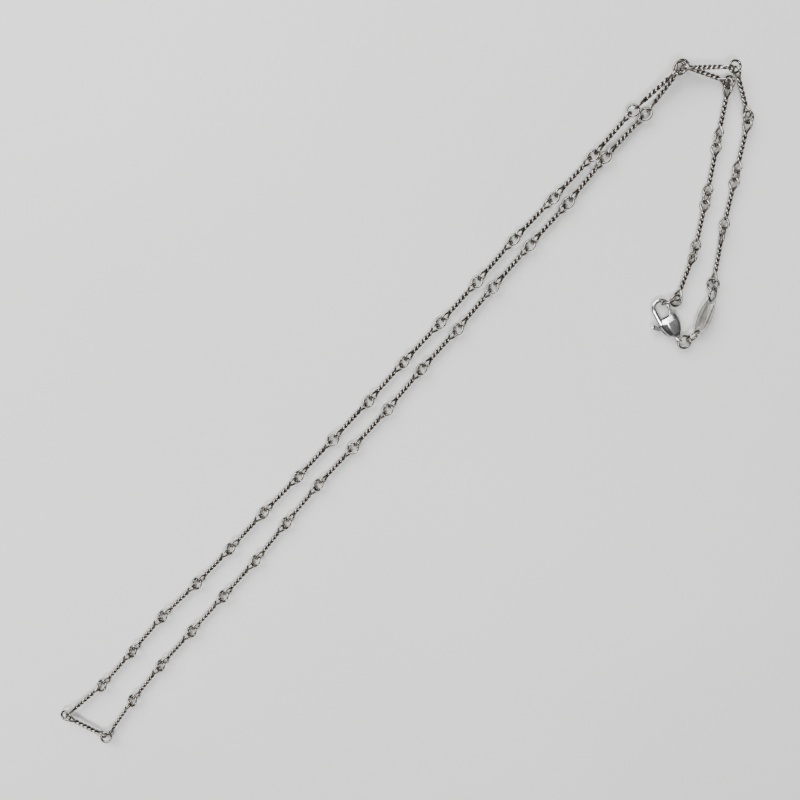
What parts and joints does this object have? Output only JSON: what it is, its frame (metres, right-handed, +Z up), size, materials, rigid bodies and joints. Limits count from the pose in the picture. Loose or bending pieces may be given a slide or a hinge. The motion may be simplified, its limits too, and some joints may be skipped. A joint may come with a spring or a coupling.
{
  "type": "chain necklace",
  "caption": "Fine necklace of twisted bars joined by round jump rings, closed by a lobster clasp that hooks an end ring beside a small pointed oval tag.",
  "frame": {"origin": "middle of the footprint of the folded necklace, on the surface it lies on", "axes": "+X along the long legs towards the clasp end, +Y across them away from the clasp, +Z up"},
  "size_m": [0.1701, 0.0408, 0.004],
  "materials": {
    "chain_silver": "satin sterling silver, lightly mottled",
    "ring_silver": "polished sterling silver",
    "clasp_silver": "satin cast sterling silver",
    "tag_silver": "brushed sterling silver",
    "spring_steel": "plain drawn wire"
  },
  "bodies": {
    "clasp": {"clasp_body": "clasp_silver", "clasp_spring": "spring_steel", "clasp_rivet": "clasp_silver"},
    "lever": {"clasp_lever": "clasp_silver"},
    "tail_ring": {"clasp_tail_ring": "ring_silver"},
    "lower_ring": {"lower_jump_ring": "ring_silver"},
    "tag": {"tag": "tag_silver"},
    "upper_ring": {"upper_jump_ring": "ring_silver"},
    "small_ring": {"small_jump_ring": "ring_silver"},
    "end_ring": {"end_ring": "ring_silver"},
    "first_ring": {"first_ring": "ring_silver"},
    "front_bar": {"front_bar": "chain_silver"},
    "outer_link_01": {"outer_link_01": "chain_silver"},
    "outer_link_02": {"outer_link_02": "chain_silver"},
    "outer_link_03": {"outer_link_03": "chain_silver"},
    "outer_link_04": {"outer_link_04": "chain_silver"},
    "outer_link_05": {"outer_link_05": "chain_silver"},
    "outer_link_06": {"outer_link_06": "chain_silver"},
    "outer_link_07": {"outer_link_07": "chain_silver"},
    "outer_link_08": {"outer_link_08": "chain_silver"},
    "outer_link_09": {"outer_link_09": "chain_silver"},
    "outer_link_10": {"outer_link_10": "chain_silver"},
    "outer_link_11": {"outer_link_11": "chain_silver"},
    "outer_link_12": {"outer_link_12": "chain_silver"},
    "outer_link_13": {"outer_link_13": "chain_silver"},
    "outer_link_14": {"outer_link_14": "chain_silver"},
    "outer_link_15": {"outer_link_15": "chain_silver"},
    "outer_link_16": {"outer_link_16": "chain_silver"},
    "outer_link_17": {"outer_link_17": "chain_silver"},
    "outer_link_18": {"outer_link_18": "chain_silver"},
    "outer_link_19": {"outer_link_19": "chain_silver"},
    "outer_link_20": {"outer_link_20": "chain_silver"},
    "outer_link_21": {"outer_link_21": "chain_silver"},
    "outer_link_22": {"outer_link_22": "chain_silver"},
    "inner_link_01": {"inner_link_01": "chain_silver"},
    "inner_link_02": {"inner_link_02": "chain_silver"},
    "inner_link_03": {"inner_link_03": "chain_silver"},
    "inner_link_04": {"inner_link_04": "chain_silver"},
    "inner_link_05": {"inner_link_05": "chain_silver"},
    "inner_link_06": {"inner_link_06": "chain_silver"},
    "inner_link_07": {"inner_link_07": "chain_silver"},
    "inner_link_08": {"inner_link_08": "chain_silver"},
    "inner_link_09": {"inner_link_09": "chain_silver"},
    "inner_link_10": {"inner_link_10": "chain_silver"},
    "inner_link_11": {"inner_link_11": "chain_silver"},
    "inner_link_12": {"inner_link_12": "chain_silver"},
    "inner_link_13": {"inner_link_13": "chain_silver"},
    "inner_link_14": {"inner_link_14": "chain_silver"},
    "inner_link_15": {"inner_link_15": "chain_silver"},
    "inner_link_16": {"inner_link_16": "chain_silver"},
    "inner_link_17": {"inner_link_17": "chain_silver"},
    "inner_link_18": {"inner_link_18": "chain_silver"},
    "inner_link_19": {"inner_link_19": "chain_silver"},
    "inner_link_20": {"inner_link_20": "chain_silver"},
    "inner_link_21": {"inner_link_21": "chain_silver"},
    "inner_link_22": {"inner_link_22": "chain_silver"}
  },
  "joints": [
    {"name": "lever_turn", "type": "hinge", "parent": "clasp", "child": "lever", "pos_m": [0.04706, -0.01505, 0.0011], "axis": [0, 0, 1], "range_deg": [0, 22], "stiffness_Nm_per_rad": 0.002, "springref_deg": -8.59},
    {"name": "tail_ring_swing", "type": "hinge", "parent": "clasp", "child": "tail_ring", "pos_m": [0.04601, -0.01802, 0.0011], "axis": [0.9397, 0.342, 0], "range_deg": [-45, 45]},
    {"name": "lower_ring_swing", "type": "hinge", "parent": "tail_ring", "child": "lower_ring", "pos_m": [0.04746, -0.01928, 0.0011], "axis": [-0.2079, -0.9781, 0], "range_deg": [0, 65]},
    {"name": "tag_swing", "type": "hinge", "parent": "lower_ring", "child": "tag", "pos_m": [0.04936, -0.01931, 0.00168], "axis": [0.3061, -0.6565, -0.6894], "range_deg": [0, 30]},
    {"name": "upper_ring_swing", "type": "hinge", "parent": "tag", "child": "upper_ring", "pos_m": [0.05459, -0.01731, 0.00125], "axis": [-0.3851, 0.593, 0.7071], "range_deg": [-90, 0]},
    {"name": "small_ring_swing", "type": "hinge", "parent": "upper_ring", "child": "small_ring", "pos_m": [0.05669, -0.01589, 0.00129], "axis": [-0.4254, 0.5659, 0.7063], "range_deg": [-90, 0]},
    {"name": "end_ring_swing", "type": "hinge", "parent": "clasp", "child": "end_ring", "pos_m": [0.04916, -0.01129, 0.0011], "axis": [0.1045, -0.9945, 0], "range_deg": [-30, 60]},
    {"name": "first_ring_swing", "type": "hinge", "parent": "end_ring", "child": "first_ring", "pos_m": [0.04982, -0.01203, 0.00103], "axis": [0.5826, -0.6943, -0.4226], "range_deg": [-65, 0]},
    {"name": "outer_link_01_swing", "type": "hinge", "parent": "small_ring", "child": "outer_link_01", "pos_m": [0.05768, -0.01489, 0.00112], "axis": [0.5736, -0.8192, 0], "range_deg": [-45, 45]},
    {"name": "outer_link_02_swing", "type": "hinge", "parent": "outer_link_01", "child": "outer_link_02", "pos_m": [0.06508, -0.0096, 0.00103], "axis": [0.367, -0.5751, -0.7312], "range_deg": [0, 90]},
    {"name": "outer_link_03_swing", "type": "hinge", "parent": "outer_link_02", "child": "outer_link_03", "pos_m": [0.07302, -0.00439, 0.001], "axis": [-0.4742, 0.6298, 0.6151], "range_deg": [-90, 0]},
    {"name": "outer_link_04_swing", "type": "hinge", "parent": "outer_link_03", "child": "outer_link_04", "pos_m": [0.08042, 0.00136, 0.00149], "axis": [0.8684, -0.371, -0.3289], "range_deg": [0, 90]},
    {"name": "outer_link_05_swing", "type": "hinge", "parent": "outer_link_04", "child": "outer_link_05", "pos_m": [0.08297, 0.00894, 0.00228], "axis": [0.7079, 0.697, -0.1143], "range_deg": [0, 30]},
    {"name": "outer_link_06_swing", "type": "hinge", "parent": "outer_link_05", "child": "outer_link_06", "pos_m": [0.0761, 0.01516, 0.00303], "axis": [-0.1024, -0.9898, 0.0985], "range_deg": [-60, 30]},
    {"name": "outer_link_07_swing", "type": "hinge", "parent": "outer_link_06", "child": "outer_link_07", "pos_m": [0.06675, 0.01588, 0.00151], "axis": [0.0063, 0.9136, -0.4066], "range_deg": [-45, 45]},
    {"name": "outer_link_08_swing", "type": "hinge", "parent": "outer_link_07", "child": "outer_link_08", "pos_m": [0.05726, 0.01572, 0.00097], "axis": [-0.0123, -0.7071, 0.7071], "range_deg": [-90, 0]},
    {"name": "outer_link_09_swing", "type": "hinge", "parent": "outer_link_08", "child": "outer_link_09", "pos_m": [0.04777, 0.0159, 0.00098], "axis": [0.0251, 0.7189, -0.6946], "range_deg": [0, 90]},
    {"name": "outer_link_10_swing", "type": "hinge", "parent": "outer_link_09", "child": "outer_link_10", "pos_m": [0.03827, 0.0162, 0.00099], "axis": [0.0119, -0.682, 0.7312], "range_deg": [-90, 0]},
    {"name": "outer_link_11_swing", "type": "hinge", "parent": "outer_link_10", "child": "outer_link_11", "pos_m": [0.02877, 0.01604, 0.00098], "axis": [0, -0.788, 0.6156], "range_deg": [-45, 45]},
    {"name": "outer_link_12_swing", "type": "hinge", "parent": "outer_link_11", "child": "outer_link_12", "pos_m": [0.01927, 0.01605, 0.00098], "axis": [0.013, 0.743, -0.6691], "range_deg": [-45, 45]},
    {"name": "outer_link_13_swing", "type": "hinge", "parent": "outer_link_12", "child": "outer_link_13", "pos_m": [0.00977, 0.01621, 0.00098], "axis": [0, 0.6691, -0.7431], "range_deg": [-45, 45]},
    {"name": "outer_link_14_swing", "type": "hinge", "parent": "outer_link_13", "child": "outer_link_14", "pos_m": [0.00027, 0.01622, 0.00098], "axis": [0.0134, 0.7659, -0.6428], "range_deg": [-45, 45]},
    {"name": "outer_link_15_swing", "type": "hinge", "parent": "outer_link_14", "child": "outer_link_15", "pos_m": [-0.00922, 0.01639, 0.00098], "axis": [0.0159, 0.9134, -0.4067], "range_deg": [-45, 45]},
    {"name": "outer_link_16_swing", "type": "hinge", "parent": "outer_link_15", "child": "outer_link_16", "pos_m": [-0.01872, 0.01657, 0.00098], "axis": [-0.0247, -0.7067, 0.7071], "range_deg": [-45, 45]},
    {"name": "outer_link_17_swing", "type": "hinge", "parent": "outer_link_16", "child": "outer_link_17", "pos_m": [-0.02822, 0.01689, 0.00098], "axis": [0.0126, 0.7192, -0.6946], "range_deg": [-45, 45]},
    {"name": "outer_link_18_swing", "type": "hinge", "parent": "outer_link_17", "child": "outer_link_18", "pos_m": [-0.03772, 0.01706, 0.00098], "axis": [-0.0238, -0.6816, 0.7313], "range_deg": [-45, 45]},
    {"name": "outer_link_19_swing", "type": "hinge", "parent": "outer_link_18", "child": "outer_link_19", "pos_m": [-0.04721, 0.01743, 0.00097], "axis": [0.055, 0.7861, -0.6156], "range_deg": [-45, 45]},
    {"name": "outer_link_20_swing", "type": "hinge", "parent": "outer_link_19", "child": "outer_link_20", "pos_m": [-0.05669, 0.01803, 0.001], "axis": [-0.013, 0.7433, -0.6688], "range_deg": [-45, 45]},
    {"name": "outer_link_21_swing", "type": "hinge", "parent": "outer_link_20", "child": "outer_link_21", "pos_m": [-0.06619, 0.01786, 0.00098], "axis": [0, -0.6691, 0.7431], "range_deg": [-45, 45]},
    {"name": "outer_link_22_swing", "type": "hinge", "parent": "outer_link_21", "child": "outer_link_22", "pos_m": [-0.07568, 0.01796, 0.00096], "axis": [-0.0885, -0.7612, 0.6424], "range_deg": [-45, 45]},
    {"name": "inner_link_01_swing", "type": "hinge", "parent": "first_ring", "child": "inner_link_01", "pos_m": [0.05144, -0.01225, 0.00106], "axis": [0.4215, -0.9023, -0.0908], "range_deg": [0, 60]},
    {"name": "inner_link_02_swing", "type": "hinge", "parent": "inner_link_01", "child": "inner_link_02", "pos_m": [0.05928, -0.00848, 0.00108], "axis": [0.3672, -0.5755, -0.7307], "range_deg": [-45, 0]},
    {"name": "inner_link_03_swing", "type": "hinge", "parent": "inner_link_02", "child": "inner_link_03", "pos_m": [0.06712, -0.00331, 0.00099], "axis": [0.452, -0.6455, -0.6156], "range_deg": [-90, 0]},
    {"name": "inner_link_04_swing", "type": "hinge", "parent": "inner_link_03", "child": "inner_link_04", "pos_m": [0.07482, 0.00209, 0.00098], "axis": [-0.4262, 0.6087, 0.6691], "range_deg": [0, 90]},
    {"name": "inner_link_05_swing", "type": "hinge", "parent": "inner_link_04", "child": "inner_link_05", "pos_m": [0.08135, 0.00781, 0.00106], "axis": [-0.9082, -0.4044, 0.1078], "range_deg": [0, 20]},
    {"name": "inner_link_06_swing", "type": "hinge", "parent": "inner_link_05", "child": "inner_link_06", "pos_m": [0.07736, 0.01454, 0.00109], "axis": [0.0859, -0.9816, 0.1705], "range_deg": [0, 30]},
    {"name": "inner_link_07_swing", "type": "hinge", "parent": "inner_link_06", "child": "inner_link_07", "pos_m": [0.06789, 0.01378, 0.00096], "axis": [0.0159, 0.9136, -0.4063], "range_deg": [-45, 45]},
    {"name": "inner_link_08_swing", "type": "hinge", "parent": "inner_link_07", "child": "inner_link_08", "pos_m": [0.05839, 0.0139, 0.001], "axis": [0.037, -0.7064, 0.7069], "range_deg": [-30, 60]},
    {"name": "inner_link_09_swing", "type": "hinge", "parent": "inner_link_08", "child": "inner_link_09", "pos_m": [0.0489, 0.01343, 0.00097], "axis": [0, -0.7195, 0.6945], "range_deg": [-45, 45]},
    {"name": "inner_link_10_swing", "type": "hinge", "parent": "inner_link_09", "child": "inner_link_10", "pos_m": [0.0394, 0.01343, 0.00098], "axis": [0.0119, -0.6819, 0.7313], "range_deg": [-45, 45]},
    {"name": "inner_link_11_swing", "type": "hinge", "parent": "inner_link_10", "child": "inner_link_11", "pos_m": [0.0299, 0.01324, 0.00098], "axis": [-0.0275, 0.7875, -0.6156], "range_deg": [-45, 45]},
    {"name": "inner_link_12_swing", "type": "hinge", "parent": "inner_link_11", "child": "inner_link_12", "pos_m": [0.02041, 0.01294, 0.00097], "axis": [0, -0.7432, 0.6691], "range_deg": [-45, 45]},
    {"name": "inner_link_13_swing", "type": "hinge", "parent": "inner_link_12", "child": "inner_link_13", "pos_m": [0.01091, 0.01292, 0.00099], "axis": [0.0234, -0.6688, 0.7431], "range_deg": [-45, 45]},
    {"name": "inner_link_14_swing", "type": "hinge", "parent": "inner_link_13", "child": "inner_link_14", "pos_m": [0.00141, 0.01261, 0.00097], "axis": [0, 0.7661, -0.6427], "range_deg": [-45, 45]},
    {"name": "inner_link_15_swing", "type": "hinge", "parent": "inner_link_14", "child": "inner_link_15", "pos_m": [-0.00809, 0.01263, 0.00098], "axis": [0.0159, 0.9134, -0.4067], "range_deg": [-45, 45]},
    {"name": "inner_link_16_swing", "type": "hinge", "parent": "inner_link_15", "child": "inner_link_16", "pos_m": [-0.01759, 0.01276, 0.00099], "axis": [0.0247, -0.7068, 0.707], "range_deg": [-45, 45]},
    {"name": "inner_link_17_swing", "type": "hinge", "parent": "inner_link_16", "child": "inner_link_17", "pos_m": [-0.02708, 0.0124, 0.00098], "axis": [0.0376, -0.7184, 0.6946], "range_deg": [-45, 45]},
    {"name": "inner_link_18_swing", "type": "hinge", "parent": "inner_link_17", "child": "inner_link_18", "pos_m": [-0.03657, 0.01194, 0.00097], "axis": [0, 0.6821, -0.7312], "range_deg": [-45, 45]},
    {"name": "inner_link_19_swing", "type": "hinge", "parent": "inner_link_18", "child": "inner_link_19", "pos_m": [-0.04607, 0.01195, 0.00098], "axis": [0, -0.788, 0.6157], "range_deg": [-45, 45]},
    {"name": "inner_link_20_swing", "type": "hinge", "parent": "inner_link_19", "child": "inner_link_20", "pos_m": [-0.05557, 0.01195, 0.00098], "axis": [0, -0.7431, 0.6691], "range_deg": [-45, 45]},
    {"name": "inner_link_21_swing", "type": "hinge", "parent": "inner_link_20", "child": "inner_link_21", "pos_m": [-0.06507, 0.01191, 0.00099], "axis": [0.035, -0.6683, 0.743], "range_deg": [-45, 45]},
    {"name": "inner_link_22_swing", "type": "hinge", "parent": "inner_link_21", "child": "inner_link_22", "pos_m": [-0.07455, 0.01135, 0.001], "axis": [0.0983, -0.7601, 0.6423], "range_deg": [0, 90]},
    {"name": "front_bar_swing", "type": "hinge", "parent": "inner_link_22", "child": "front_bar", "pos_m": [-0.08318, 0.0114, 0.00108], "axis": [0.9743, 0.1218, -0.1897], "range_deg": [-45, 45]}
  ]
}
